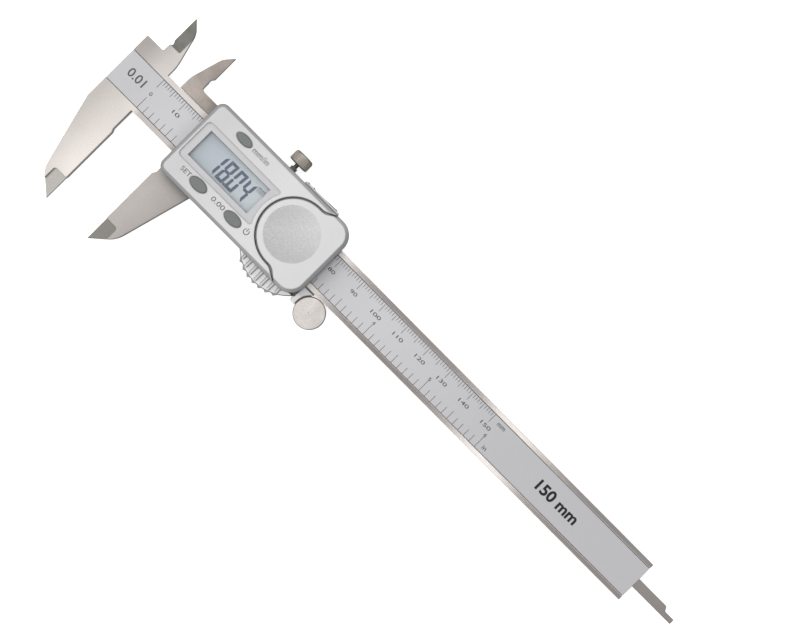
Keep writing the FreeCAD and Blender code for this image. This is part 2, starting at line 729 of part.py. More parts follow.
def data_port_cover():
    """The push-in cover of the data port, with two grip ridges and a thumb ramp."""
    x0, x1, z0, z1 = PORT
    face = HOUSING_HIGH + PORT_PROUD
    plate = box(x0, x1, HOUSING_HIGH + 0.04, face, z0, z1)
    plate = plate.makeFillet(0.3, [e for e in plate.Edges if e.BoundBox.YMin > face - 1e-4])
    plug = port_hole(-0.12, HOUSING_HIGH - WALL + 0.1, HOUSING_HIGH + 0.3)
    cover = plate.fuse(plug)
    for x in (x0 + 1.1, x0 + 3.4):
        cover = cover.fuse(post(x, face - 0.1, 0.4, z0 + 0.5, z1 - 0.5))
    plan = ((x0 + 6.2, face - 0.1), (x1 - 1.2, face - 0.1), (x1 - 1.2, face + 0.35))
    ramp = slab([(x, y, 0) for x, y in plan], z0 + 0.5, z1 - 0.5)
    return cover.fuse(ramp).removeSplitter()


def button(x, y, half_long, half_high):
    """An oval button with a flange that keeps it in the cover and a stem that reaches its switch."""
    cap = oval(x, y, half_long, half_high, FLANGE_FRONT - 0.1, BUTTON_FRONT)
    cap = round_level(cap, BUTTON_FRONT, 0.25)
    flange = oval(x, y, half_long + BUTTON_FLANGE, half_high + BUTTON_FLANGE, FLANGE_BACK, FLANGE_FRONT)
    stem = post(x, y, BUTTON_STEM, BUTTON_STEM_END, FLANGE_BACK + 0.1)
    return cap.fuse(flange).fuse(stem).removeSplitter()


def lock_screw():
    """The knurled clamping screw across the upper rail."""
    shank = crossbar(LOCK_X, LOCK_Z, LOCK_SHANK, GIB_OUTER + 0.1, LOCK_BUSH_END)
    neck = crossbar(LOCK_X, LOCK_Z, LOCK_NECK, LOCK_BUSH_END - 0.1, LOCK_HEAD_START + 0.2)
    head = crossbar(LOCK_X, LOCK_Z, LOCK_HEAD, LOCK_HEAD_START, LOCK_HEAD_END)
    rims = [e for e in head.Edges if e.BoundBox.YLength < 1e-4]
    head = head.makeFillet(1.0, [e for e in rims if e.BoundBox.YMin > LOCK_HEAD_START + 1])
    head = head.makeFillet(0.6, [e for e in head.Edges if e.BoundBox.YMax < LOCK_HEAD_START + 1e-4])
    for i in range(LOCK_KNURLS):
        angle = 2 * math.pi * i / LOCK_KNURLS
        x = LOCK_X + (LOCK_HEAD + 0.08) * math.cos(angle)
        z = LOCK_Z + (LOCK_HEAD + 0.08) * math.sin(angle)
        head = head.cut(crossbar(x, z, 0.22, LOCK_HEAD_START - 1, LOCK_HEAD_END + 1))
    return shank.fuse(neck).fuse(head).removeSplitter()


def lock_screw_bush():
    """The black sealing bush the lock screw passes through."""
    bush = crossbar(LOCK_X, LOCK_Z, LOCK_BUSH, FRAME_HALF, LOCK_BUSH_END)
    return bush.cut(crossbar(LOCK_X, LOCK_Z, LOCK_SHANK + 0.05, FRAME_HALF - 1, LOCK_BUSH_END + 1))


def thumb_roller():
    """The turned roller: a solid disc, finely serrated round its rim, with a blind bore in its back."""
    disc = post(ROLLER_X, ROLLER_Y, ROLLER_RADIUS, ROLLER_BACK, ROLLER_FRONT)
    disc = disc.makeChamfer(0.35, edges_at(disc, ROLLER_FRONT) + edges_at(disc, ROLLER_BACK))
    for i in range(ROLLER_KNURLS):
        angle = 2 * math.pi * i / ROLLER_KNURLS
        x = ROLLER_X + (ROLLER_RADIUS + 0.07) * math.cos(angle)
        y = ROLLER_Y + (ROLLER_RADIUS + 0.07) * math.sin(angle)
        disc = disc.cut(post(x, y, 0.14, ROLLER_BACK - 1, ROLLER_FRONT + 1))
    dimple = Part.makeCone(0.5, 0, 0.3, V(ROLLER_X, ROLLER_Y, ROLLER_FRONT), V(0, 0, -1))
    bore = post(ROLLER_X, ROLLER_Y, AXLE_RADIUS + 0.05, ROLLER_BACK - 1, AXLE_FRONT + 0.15)
    return disc.cut(dimple).cut(bore)


def roller_axle():
    """The pin the roller turns on, pressed into the frame's tongue from the back."""
    pin = post(ROLLER_X, ROLLER_Y, AXLE_RADIUS, PLATE_THICK, AXLE_FRONT)
    pin = pin.makeChamfer(0.25, edges_at(pin, AXLE_FRONT))
    tail = post(ROLLER_X, ROLLER_Y, 0.8 - THREAD_GAP, 0.1, PLATE_THICK)
    return pin.fuse(tail).removeSplitter()


def rest_tongue(grow):
    """The tongue that keys the thumb rest into the lower rail, or its slot when grown."""
    return box(57 - grow, 75 + grow, -FRAME_HALF - 0.2, -FRAME_HALF + 1.2 + grow, 2.7 - grow, 4.3 + grow)


def rest_edge(x):
    """How low the thumb rest's arch reaches at x."""
    return REST_Y - math.sqrt(REST_RADIUS**2 - (x - REST_X) ** 2)


def thumb_rest():
    """The arched plastic grip under the housing, with ridges over its front and round its edge."""
    disc = post(REST_X, REST_Y, REST_RADIUS, REST_BACK, REST_FRONT)
    disc = disc.makeFillet(0.9, disc.Edges)
    body = disc.common(box(REST_X - 20, REST_X + 20, REST_Y - 20, -FRAME_HALF, 0, 10))
    for i in range(RIB_COUNT):
        x = REST_X + (i - (RIB_COUNT - 1) / 2) * RIB_PITCH - 0.2
        left, edge, right = (rest_edge(x + shift) for shift in (-TOOTH_HALF, 0, TOOTH_HALF))
        tooth = (
            (x - TOOTH_HALF, left + 0.8, 0),
            (x - TOOTH_HALF, left + 0.1, 0),
            (x, edge - TOOTH_DEEP, 0.2),
            (x + TOOTH_HALF, right + 0.1, 0),
            (x + TOOTH_HALF, right + 0.8, 0),
        )
        body = body.fuse(slab(tooth, REST_BACK + 0.5, REST_FRONT - 0.4))
        foot, crest = REST_FRONT - 0.2, REST_FRONT + RIB_HIGH
        section = ((-RIB_FOOT, foot), (RIB_FOOT, foot), (RIB_CREST, crest), (-RIB_CREST, crest))
        corners = [V(x + across, edge + 0.7, z) for across, z in section]
        face = Part.Face(Part.makePolygon(corners + corners[:1]))
        body = body.fuse(face.extrude(V(0, HOUSING_LOW - 0.05 - edge - 0.7, 0)))
    return body.fuse(rest_tongue(0)).removeSplitter()


def roller_bracket():
    """The shaped block between the lower rail's end and the roller."""
    back = PLATE_THICK + 0.02
    top = LOWER_GUIDE - WIPER_HIGH
    body = box(FRAME_RIGHT + 0.05, ROLLER_X, BRACKET_LOW, top, back, BEAM_FRONT)
    body = body.fuse(box(BRACKET_LEFT, FRAME_RIGHT + 1, BRACKET_LOW, -FRAME_HALF - 0.05, back, BEAM_FRONT))
    corner = box(BRACKET_CORNER, FRAME_RIGHT + 1, -FRAME_HALF - 0.05, BRACKET_CORNER_TOP, back, BEAM_FRONT)
    corner = corner.cut(channel(0.05, FRAME_FRONT)).cut(post(REST_X, REST_Y, REST_RADIUS + 0.05, 0, 10))
    body = body.fuse(corner)
    body = body.cut(post(ROLLER_X, ROLLER_Y, ROLLER_RADIUS + 0.3, 0, 10))
    for x, y in BRACKET_SCREWS:
        body = body.cut(post(x, y, 0.55 + THREAD_GAP, 0, 4.2))
    return body.removeSplitter()


def beam_wiper():
    """The black strip on the bracket that wipes the beam's lower edge."""
    low = LOWER_GUIDE - WIPER_HIGH
    return box(FRAME_RIGHT + 0.05, WIPER_RIGHT, low, LOWER_GUIDE, PLATE_THICK + 0.02, BEAM_FRONT)


def bracket_screw(x, y):
    return cap_screw(x, y, 1.0, 0.55, 0.1, 0.7, 4.0)


# Writing the solids -----------------------------------------------------------------


def save(node, shape):
    """Write one piece as parts/NODE.step, moved into the stored frame."""
    solids = shape.Solids
    if len(solids) != 1 or not shape.isValid():
        raise SystemExit(f"{node}: {len(solids)} solids, valid {shape.isValid()}")
    solid = solids[0].copy()
    solid.translate(V(-CENTRE_X, -CENTRE_Y, 0))
    solid.exportStep(f"parts/{node}.step")


def main():
    os.makedirs("parts", exist_ok=True)
    save("beam_with_fixed_jaws", beam_with_fixed_jaws())
    save("scale_strip", scale_strip())
    save("scale_label", scale_label())
    save("end_stop_plate", end_stop_plate())
    save("end_stop_screw_1", end_stop_screw(1))
    save("end_stop_screw_2", end_stop_screw(-1))
    save("slider_frame", slider_frame())
    save("gib_strip", gib_strip())
    for i, x in enumerate(GIB_SCREW_X):
        save(f"gib_screw_{i + 1}", gib_screw(x))
    save("depth_rod", depth_rod())
    save("depth_rod_screw", depth_rod_screw())
    save("housing_base", housing_base())
    save("housing_gasket", housing_gasket())
    save("housing_cover", housing_cover())
    for i, (x, y) in enumerate(HOUSING_SCREWS):
        save(f"housing_screw_{i + 1}", housing_screw(x, y))
    save("display_window", display_window())
    save("lcd_glass", lcd_glass())
    save("lcd_holder", lcd_holder())
    save("panel_connector_upper", panel_connector(1))
    save("panel_connector_lower", panel_connector(-1))
    save("sensor_board", sensor_board())
    for i, (x, y) in enumerate(BOARD_SCREWS):
        save(f"board_screw_{i + 1}", board_screw(x, y))
    save("processor_blob", processor_blob())
    save("battery", battery())
    save("battery_contact_negative", battery_contact_negative())
    save("battery_contact_positive", battery_contact_positive())
    save("battery_seal", battery_seal())
    save("data_connector", data_connector())
    save("battery_cover", battery_cover())
    save("data_port_cover", data_port_cover())
    for name, x, y, half_long, half_high in BUTTONS:
        save(f"button_{name}", button(x, y, half_long, half_high))
        save(f"dome_switch_{name}", dome_switch(x, y))
    save("lock_screw", lock_screw())
    save("lock_screw_bush", lock_screw_bush())
    save("thumb_roller", thumb_roller())
    save("roller_axle", roller_axle())
    save("thumb_rest", thumb_rest())
    save("roller_bracket", roller_bracket())
    save("beam_wiper", beam_wiper())
    for i, (x, y) in enumerate(BRACKET_SCREWS):
        save(f"bracket_screw_{i + 1}", bracket_screw(x, y))


main()
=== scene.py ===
"""The looks of the digital caliper: materials for every CAD piece, the printed scale and legends, the
display's figures, and a plain pale studio seen from straight above.

The frame is in metres. Sizes below are in millimetres unless they say otherwise, and are multiplied
by MM. Places are measured from the scale's zero line (x) and the beam's centre line (y), which are read
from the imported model.
"""

import json
import math

import bpy
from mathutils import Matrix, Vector


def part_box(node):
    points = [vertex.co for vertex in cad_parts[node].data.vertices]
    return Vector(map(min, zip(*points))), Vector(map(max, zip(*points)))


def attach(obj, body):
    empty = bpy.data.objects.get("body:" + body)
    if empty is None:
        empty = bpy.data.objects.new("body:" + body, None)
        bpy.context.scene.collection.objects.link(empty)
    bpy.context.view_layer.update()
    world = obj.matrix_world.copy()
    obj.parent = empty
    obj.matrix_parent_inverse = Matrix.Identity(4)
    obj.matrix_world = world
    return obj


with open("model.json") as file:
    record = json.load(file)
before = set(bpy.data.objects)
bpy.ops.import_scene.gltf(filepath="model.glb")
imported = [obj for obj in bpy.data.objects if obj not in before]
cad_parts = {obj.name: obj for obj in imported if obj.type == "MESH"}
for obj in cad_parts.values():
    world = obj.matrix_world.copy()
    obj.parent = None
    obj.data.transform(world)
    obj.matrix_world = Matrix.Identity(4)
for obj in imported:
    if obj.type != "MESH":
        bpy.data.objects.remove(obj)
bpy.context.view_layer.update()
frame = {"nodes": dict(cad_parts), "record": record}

MM = 0.001
nodes = frame["nodes"]
mounts = {m["name"]: Vector(m["pos_m"]) for m in frame["record"]["mounts"]}
label_low, label_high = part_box("scale_label")
cover_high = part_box("housing_cover")[1]
window_low, window_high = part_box("display_window")
panel_low, panel_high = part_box("lcd_glass")
cell_low, cell_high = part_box("battery")
rest_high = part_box("thumb_rest")[1]
roller_low, roller_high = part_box("thumb_roller")
lock_low, lock_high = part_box("lock_screw")

ZERO_X = mounts["fixed_jaw_face"].x
CENTRE_Y = (label_low.y + label_high.y) / 2
LABEL_TOP = label_high.z
COVER_TOP = cover_high.z
PANEL_TOP = panel_high.z
BEAM_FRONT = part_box("beam_with_fixed_jaws")[1].z
CELL_CENTRE = (cell_low + cell_high) / 2
ROLLER_CENTRE = (roller_low + roller_high) / 2
LOCK_CENTRE = (lock_low + lock_high) / 2
LABEL_HALF = (label_high.y - label_low.y) / 2 / MM


def place(x, y, z=0.0):
    """A point x mm past the zero line and y mm across from the beam's centre line, z metres up."""
    return Vector((ZERO_X + x * MM, CENTRE_Y + y * MM, z))


# Materials ------------------------------------------------------------------


class Finish:
    """One node material being put together. Its textures run on the row frame's own coordinates."""

    def __init__(self, name):
        self.material = bpy.data.materials.new(name)
        self.material.use_nodes = True
        self.tree = self.material.node_tree
        self.surface = self.tree.nodes["Principled BSDF"]
        self.where = self.node("ShaderNodeTexCoord").outputs["Object"]

    def node(self, kind, **settings):
        made = self.tree.nodes.new(kind)
        for key, value in settings.items():
            setattr(made, key, value)
        return made

    def join(self, source, target):
        self.tree.links.new(source, target)

    def put(self, **values):
        """Sets the surface shader's own sockets, named with _ for a space."""
        for key, value in values.items():
            self.surface.inputs[key.replace("_", " ")].default_value = value

    def noise(self, per_mm, detail=3.0, rough=0.55, stretch=(1, 1, 1), source=None):
        """Noise with per_mm waves to a millimetre, squeezed by stretch along each axis."""
        mapping = self.node("ShaderNodeMapping")
        mapping.inputs["Scale"].default_value = [s * per_mm / MM for s in stretch]
        self.join(source or self.where, mapping.inputs["Vector"])
        made = self.node("ShaderNodeTexNoise")
        made.inputs["Scale"].default_value = 1.0
        made.inputs["Detail"].default_value = detail
        made.inputs["Roughness"].default_value = rough
        self.join(mapping.outputs["Vector"], made.inputs["Vector"])
        return made.outputs["Fac"]

    def remap(self, value, low, high, to_low=0.0, to_high=1.0):
        """Maps low..high to to_low..to_high and holds the ends."""
        made = self.node("ShaderNodeMapRange")
        for socket, number in zip(made.inputs[1:5], (low, high, to_low, to_high)):
            socket.default_value = number
        self.join(value, made.inputs["Value"])
        return made.outputs["Result"]

    def fade(self, length, start, end, to_start=0.0, to_end=1.0):
        """Maps a length between two places given in mm."""
        return self.remap(length, start * MM, end * MM, to_start, to_end)

    def math(self, operation, a, b=0.0):
        made = self.node("ShaderNodeMath", operation=operation)
        for socket, value in zip(made.inputs, (a, b)):
            if isinstance(value, (int, float)):
                socket.default_value = value
            else:
                self.join(value, socket)
        return made.outputs[0]

    def blend(self, factor, a, b):
        """Mixes two colours, each a tuple or an output."""
        made = self.node("ShaderNodeMix", data_type="RGBA")
        if isinstance(factor, (int, float)):
            made.inputs[0].default_value = factor
        else:
            self.join(factor, made.inputs[0])
        for socket, value in ((made.inputs[6], a), (made.inputs[7], b)):
            if isinstance(value, tuple):
                socket.default_value = (*value, 1.0)
            else:
                self.join(value, socket)
        return made.outputs[2]

    def axis(self, name, source=None):
        made = self.node("ShaderNodeSeparateXYZ")
        self.join(source or self.where, made.inputs[0])
        return made.outputs[name]

    def offset(self, centre):
        """Where the surface is, seen from a centre."""
        made = self.node("ShaderNodeVectorMath", operation="SUBTRACT")
        made.inputs[1].default_value = centre
        self.join(self.where, made.inputs[0])
        return made.outputs[0]

    def radius(self, offset, plane):
        """An offset's length in a plane, whose own axes are marked with 1."""
        flat = self.node("ShaderNodeVectorMath", operation="MULTIPLY")
        flat.inputs[1].default_value = plane
        self.join(offset, flat.inputs[0])
        made = self.node("ShaderNodeVectorMath", operation="LENGTH")
        self.join(flat.outputs[0], made.inputs[0])
        return made.outputs["Value"]

    def normal_z(self):
        """How far the surface faces up: 1 straight up, 0 on the sides and -1 straight down."""
        return self.axis("Z", self.node("ShaderNodeNewGeometry").outputs["Normal"])

    def facing_up(self, soft_mm=0.0):
        """1 on surfaces that face +Z or -Z and 0 on the sides, or a blend over edges soft_mm wide."""
        if soft_mm:
            rounded = self.node("ShaderNodeBevel", samples=8)
            rounded.inputs["Radius"].default_value = soft_mm * MM
            upright = self.math("ABSOLUTE", self.axis("Z", rounded.outputs["Normal"]))
            return self.remap(upright, 0.5, 0.98)
        return self.remap(self.math("ABSOLUTE", self.normal_z()), 0.6, 0.8)

    def bump(self, height, depth_mm, strength=1.0, edge_mm=0.0):
        """Bump from a height, over edges softened by edge_mm."""
        made = self.node("ShaderNodeBump")
        made.inputs["Strength"].default_value = strength
        made.inputs["Distance"].default_value = depth_mm * MM
        self.join(height, made.inputs["Height"])
        if edge_mm:
            soft = self.node("ShaderNodeBevel", samples=6)
            soft.inputs["Radius"].default_value = edge_mm * MM
            self.join(soft.outputs["Normal"], made.inputs["Normal"])
        self.join(made.outputs["Normal"], self.surface.inputs["Normal"])

    def openness(self, reach_mm, low=0.25, high=0.8):
        """1 in the open, 0 deep in gaps and corners narrower than reach_mm: the mask for painted shade.
        """
        made = self.node("ShaderNodeAmbientOcclusion", samples=8)
        made.inputs["Distance"].default_value = reach_mm * MM
        return self.remap(made.outputs["AO"], low, high)

    def dimmed(self, colour, factor):
        """The colour times a factor."""
        made = self.node("ShaderNodeVectorMath", operation="SCALE")
        self.join(colour, made.inputs[0])
        self.join(factor, made.inputs["Scale"])
        return made.outputs[0]

    def colour(self, output):
        self.join(output, self.surface.inputs["Base Color"])

    def roughness(self, output):
        self.join(output, self.surface.inputs["Roughness"])


def tinted(colour, factor):
    return tuple(c * factor for c in colour)


STEEL_CONTRAST = 0.08
STREAK_DEEP = 0.004


def ground_steel(name, colour, rough, stretch, painted_side_shade=0.5, edge_mm=0.12):
    """Ground or drawn steel: fine streaks along one axis, slow tint changes, and painted shade on sides.
    """
    f = Finish(name)
    streaks = f.noise(14.0, 4.0, 0.65, stretch)
    scratches = f.noise(3.0, 6.0, 0.75, stretch)
    cloud = f.remap(f.noise(0.05, 2.0, 0.5), 0.35, 0.65)
    base = f.blend(cloud, tinted(colour, 1 - STEEL_CONTRAST), tinted(colour, 1 + STEEL_CONTRAST / 2))
    streak_tint = tinted(colour, 1 - 2 * STEEL_CONTRAST)
    f.streaked = f.blend(f.remap(streaks, 0.35, 0.65, 0.0, 0.35), base, streak_tint)
    # Painted shade: faces turned sideways get a darker copy of the colour.
    f.streaked = f.blend(f.facing_up(), tinted(colour, painted_side_shade), f.streaked)
    f.colour(f.streaked)
    coarse = f.remap(scratches, 0.3, 0.7, -0.06, 0.06)
    f.spread = f.math("ADD", coarse, f.remap(streaks, 0.3, 0.7, -0.03, 0.05))
    f.ground = f.math("ADD", f.spread, rough)
    f.roughness(f.ground)
    f.bump(streaks, STREAK_DEEP, 0.35, edge_mm)
    f.put(Metallic=1.0)
    return f


POCKET_GRAIN = (0.17, 0.165, 0.155)


def jaw_steel(name, colour, rough, low_pocket, high_pocket, rail_rough, painted_head_shade, painted_jaw_shade=0.0):
    """The caliper's ground steel: polished rails along the beam, and darker ground-down blades.

    The head is painted darker towards its far corner and along the lower rail beside it, and the moving
    jaw towards its outer edge, by its last two arguments: painted shade for the uneven light on the
    metal. Corners and gaps get painted shade too.
    """
    f = ground_steel(name, colour, rough, (0.06, 1.0, 1.0), 0.45, 0.35)
    along = f.math("SUBTRACT", f.axis("X"), ZERO_X)
    across = f.math("SUBTRACT", f.axis("Y"), CENTRE_Y)
    reach = f.math("ABSOLUTE", across)

    # The ground-down pockets, on upward faces sunk below the beam's front.
    front = f.remap(f.normal_z(), 0.6, 0.8)
    sunk = f.remap(f.axis("Z"), BEAM_FRONT - 0.4 * MM, BEAM_FRONT - 0.2 * MM, 1.0, 0.0)
    sunk = f.math("MULTIPLY", front, sunk)
    inside_jaw = f.fade(across, -0.1, 0.1)
    grain = f.noise(6.0, 5.0, 0.7, (1.0, 0.12, 1.0))
    pocket = f.blend(inside_jaw, low_pocket, high_pocket)
    pocket = f.blend(f.remap(grain, 0.3, 0.7, 0.0, 0.4), pocket, POCKET_GRAIN)
    # The inside jaws' pockets: a mottle, brighter up to 8 mm past the zero line and darker from 18 mm,
    # and darker from 10 to 15 mm across.
    mottle = f.remap(f.noise(0.22, 3.0, 0.6), 0.35, 0.65, 0.86, 1.1)
    unevenness = f.math("MULTIPLY", f.fade(along, 8, 18, 1.2, 0.64), mottle)
    unevenness = f.math("MULTIPLY", f.fade(across, 10, 15, 1.17, 0.9), unevenness)
    pocket = f.blend(inside_jaw, pocket, f.dimmed(pocket, unevenness))

    # Painted shade for the uneven light on the metal, on the head and the first part of the beam,
    # and on the moving jaw.
    head = f.fade(across, -30, 12, 1.0 - 0.05 * painted_head_shade, 1.0 - 0.26 * painted_head_shade)
    head = f.math("MULTIPLY", head, f.fade(along, -12, 0, 1.0 - 0.34 * painted_head_shade, 1.0))
    corner = f.fade(along, -10, -4, 1.0 - 0.21 * painted_head_shade, 1.0)
    corner = f.math("MAXIMUM", corner, f.fade(across, -4, 6, 1.0, 0.0))
    low_rail = f.fade(along, 0, 2, 1.0, 1.0 - 0.3 * painted_head_shade)
    low_rail = f.math("MAXIMUM", low_rail, f.fade(across, -6.2, -6.1))
    painted_shade = f.math("MULTIPLY", head, f.math("MULTIPLY", corner, low_rail))
    painted_shade = f.math("MAXIMUM", painted_shade, f.fade(along, 40, 70))
    painted_shade = f.math("MULTIPLY", painted_shade, f.fade(along, 21, 32, 1.0, 1.0 - painted_jaw_shade))
    # Painted shade in corners and gaps, and a painted contact shadow beside the housing.
    shaded = f.math("MULTIPLY", painted_shade, f.remap(f.openness(4.5, 0.45, 0.95), 0.0, 1.0, 0.4, 1.0))
    f.colour(f.blend(sunk, f.dimmed(f.streaked, shaded), pocket))

    # The polished rails either side of the scale, from the head on.
    past_head = f.remap(f.axis("X"), ZERO_X, ZERO_X + 2 * MM)
    rail = f.math("MULTIPLY", f.fade(reach, 6.2, 6.3), f.fade(reach, 8.0, 8.1, 1.0, 0.0))
    rail = f.math("MULTIPLY", f.math("MULTIPLY", rail, f.facing_up()), past_head)
    polished = f.math("ADD", f.math("MULTIPLY", f.spread, 0.5), rail_rough)
    chosen = f.node("ShaderNodeMix", data_type="FLOAT")
    f.join(rail, chosen.inputs[0])
    f.join(f.ground, chosen.inputs[2])
    f.join(polished, chosen.inputs[3])
    f.roughness(chosen.outputs[0])
    return f.material


LOCK_HEAD_LONG = 3.9
LOCK_NECK = (0.10, 0.095, 0.09)
KNURL_GROOVE_SHADE = (0.05, 0.047, 0.042)


def turned_steel(name, colour, rough, centre, sideways=False, gap_mm=0.0):
    """Steel turned on a lathe: fine rings about a centre, and soft slow changes of tint.

    Only the lock screw lies sideways and has gap_mm: painted shade in its knurl's grooves, and a dark
    neck.
    """
    f = Finish(name)
    ring = f.node("ShaderNodeCombineXYZ")
    f.join(f.radius(f.offset(centre), (1, 0, 1) if sideways else (1, 1, 0)), ring.inputs["X"])
    grooves = f.noise(9.0, 4.0, 0.7, source=ring.outputs[0])
    cloud = f.noise(0.25, 2.0)
    base = f.blend(f.remap(cloud, 0.3, 0.7), tinted(colour, 0.86), tinted(colour, 1.06))
    turned = f.blend(f.remap(grooves, 0.35, 0.65, 0.0, 0.4), base, tinted(colour, 0.72))
    if gap_mm:
        # Painted shade in the knurl's grooves.
        turned = f.blend(f.openness(gap_mm), KNURL_GROOVE_SHADE, turned)
        on_neck = f.math("LESS_THAN", f.axis("Y"), lock_high.y - LOCK_HEAD_LONG * MM)
        turned = f.blend(on_neck, turned, LOCK_NECK)
    f.colour(turned)
    f.roughness(f.remap(grooves, 0.3, 0.7, rough - 0.06, rough + 0.08))
    f.bump(grooves, 0.006, 0.4, 0.08)
    f.put(Metallic=1.0)
    return f.material


WINDOW_MARGIN = 0.6
LID_REACH = 13.2
WINDOW_GAP_SHADE = 0.8
EDGE_SHADE = 0.5


def near_window(f):
    """1 round the display window, whose gap is shallow and gets only pale painted shade, except by the
    lid, and 0 elsewhere.
    """
    middle = (window_low + window_high) / 2
    half = (window_high - window_low) / 2
    outside = []
    for name, centre, reach in (("X", middle.x, half.x), ("Y", middle.y, half.y)):
        off_centre = f.math("ABSOLUTE", f.math("SUBTRACT", f.axis(name), centre))
        outside.append(f.math("GREATER_THAN", off_centre, reach + WINDOW_MARGIN * MM))
    from_lid = f.node("ShaderNodeVectorMath", operation="DISTANCE")
    from_lid.inputs[1].default_value = (CELL_CENTRE.x, CELL_CENTRE.y, window_high.z)
    f.join(f.where, from_lid.inputs[0])
    outside.append(f.math("LESS_THAN", from_lid.outputs["Value"], LID_REACH * MM))
    return f.math("SUBTRACT", 1.0, f.math("MAXIMUM", f.math("MAXIMUM", *outside[:2]), outside[2]))


def ridged(f, colour):
    """The paint; on the thumb rest, painted highlights on the ridges and painted shade on flanks and
    foot.
    """
    height = f.axis("Z")
    low = f.math("LESS_THAN", f.axis("Y"), rest_high.y + 0.5 * MM)
    on_rest = f.math("MULTIPLY", low, f.math("LESS_THAN", height, rest_high.z + 0.02 * MM))
    crest = f.math("GREATER_THAN", height, rest_high.z - 0.1 * MM)
    foot = f.math("LESS_THAN", height, rest_high.z - 0.8 * MM)
    # Painted highlight on the ridges, brightest on the crests; painted shade at the foot and on the
    # flanks.
    face = f.blend(crest, tinted(colour, 1.28), tinted(colour, 1.12))
    face = f.blend(foot, face, tinted(colour, 0.55))
    shaded = f.blend(f.facing_up(), tinted(colour, 0.5), face)
    return f.blend(on_rest, f.painted, shaded)


def silver_paint(name, colour, rough=0.36, metallic=0.45, gap_mm=0.9, edge_mm=0.5, gap_shade=0.04):
    """Silver painted plastic: fine metallic grain, slight orange peel and faint handling marks.

    With gap_mm, gaps narrower than that get painted shade down to gap_shade, edges and sides get
    painted shade, and painted shade makes the paint a little darker towards the jaws. Without it, the
    paint is plain.
    """
    f = Finish(name)
    grain = f.noise(11.0, 2.0, 0.6)
    peel = f.noise(1.6, 2.0, 0.5)
    marks = f.noise(0.18, 4.0, 0.65)
    base = f.blend(f.remap(grain, 0.3, 0.7), tinted(colour, 0.93), tinted(colour, 1.05))
    f.painted = f.blend(f.remap(marks, 0.55, 0.8, 0.0, 0.12), base, tinted(colour, 0.85))
    if gap_mm:
        # Painted shade: the paint is a little darker towards the jaws.
        along = f.math("SUBTRACT", f.axis("X"), ZERO_X)
        f.painted = f.dimmed(f.painted, f.fade(along, 24, 52, 0.88, 1.06))
        # Painted shade on edges and sides: faces turned sideways get a darker copy of the paint.
        f.painted = f.blend(f.facing_up(0.8), tinted(colour, EDGE_SHADE), f.painted)
        # Painted shade in gaps narrower than gap_mm: pale round the window, darker elsewhere.
        f.gap = f.blend(near_window(f), tinted(colour, gap_shade), tinted(colour, WINDOW_GAP_SHADE))
        f.open = f.openness(gap_mm)
        f.painted = ridged(f, colour)
        f.colour(f.blend(f.open, f.gap, f.painted))
    else:
        f.colour(f.painted)
    f.roughness(f.math("ADD", f.remap(marks, 0.3, 0.7, -0.03, 0.05), rough))
    f.height = f.math("ADD", f.math("MULTIPLY", grain, 0.35), peel)
    f.bump(f.height, 0.006, 0.5, edge_mm)
    f.put(Metallic=metallic, Coat_Weight=0.15, Coat_Roughness=0.25)
    return f


DISH_SHIFT = 0.6
DISH_INNER = 9.0
DISH_RADIUS = 9.35


def dished_paint(name, colour):
    """The battery lid's paint, coarser and greyer inside the round thumb dish, with painted shade in it.
    """
    f = silver_paint(name, colour)
    offset = f.offset((CELL_CENTRE.x - DISH_SHIFT * MM, CELL_CENTRE.y, 0))
    in_dish = f.fade(f.radius(offset, (1, 1, 0)), DISH_INNER, DISH_RADIUS, 1.0, 0.0)
    speckle = f.noise(2.4, 3.0, 0.7)
    speckled = f.blend(f.remap(speckle, 0.38, 0.62), tinted(colour, 0.79), tinted(colour, 0.97))
    # Painted shade across the dish, darker towards the tail and the thumb rest.
    dish_shade = f.math("SUBTRACT", f.axis("X", offset), f.axis("Y", offset))
    speckled = f.dimmed(speckled, f.fade(dish_shade, -2, 11, 1.0, 0.78))
    f.colour(f.blend(f.open, f.gap, f.blend(in_dish, f.painted, speckled)))
    coarse = f.math("MULTIPLY", f.math("MULTIPLY", speckle, 6.0), in_dish)
    f.bump(f.math("ADD", f.height, coarse), 0.006, 0.5, 0.12)
    return f.material


def grained(name, colour, rough, per_mm=4.0, depth_mm=0.01, contrast=0.1):
    """A moulded or cast surface with an even fine grain."""
    f = Finish(name)
    grain = f.noise(per_mm, 3.0, 0.6)
    cloud = f.noise(0.12, 2.0, 0.5)
    base = f.blend(f.remap(grain, 0.3, 0.7), tinted(colour, 1 - contrast), tinted(colour, 1 + contrast))
    f.colour(f.blend(f.remap(cloud, 0.4, 0.8, 0.0, 0.3), base, tinted(colour, 0.8)))
    f.roughness(f.remap(grain, 0.3, 0.7, rough - 0.05, rough + 0.07))
    f.bump(grain, depth_mm, 0.5, 0.08)
    return f.material


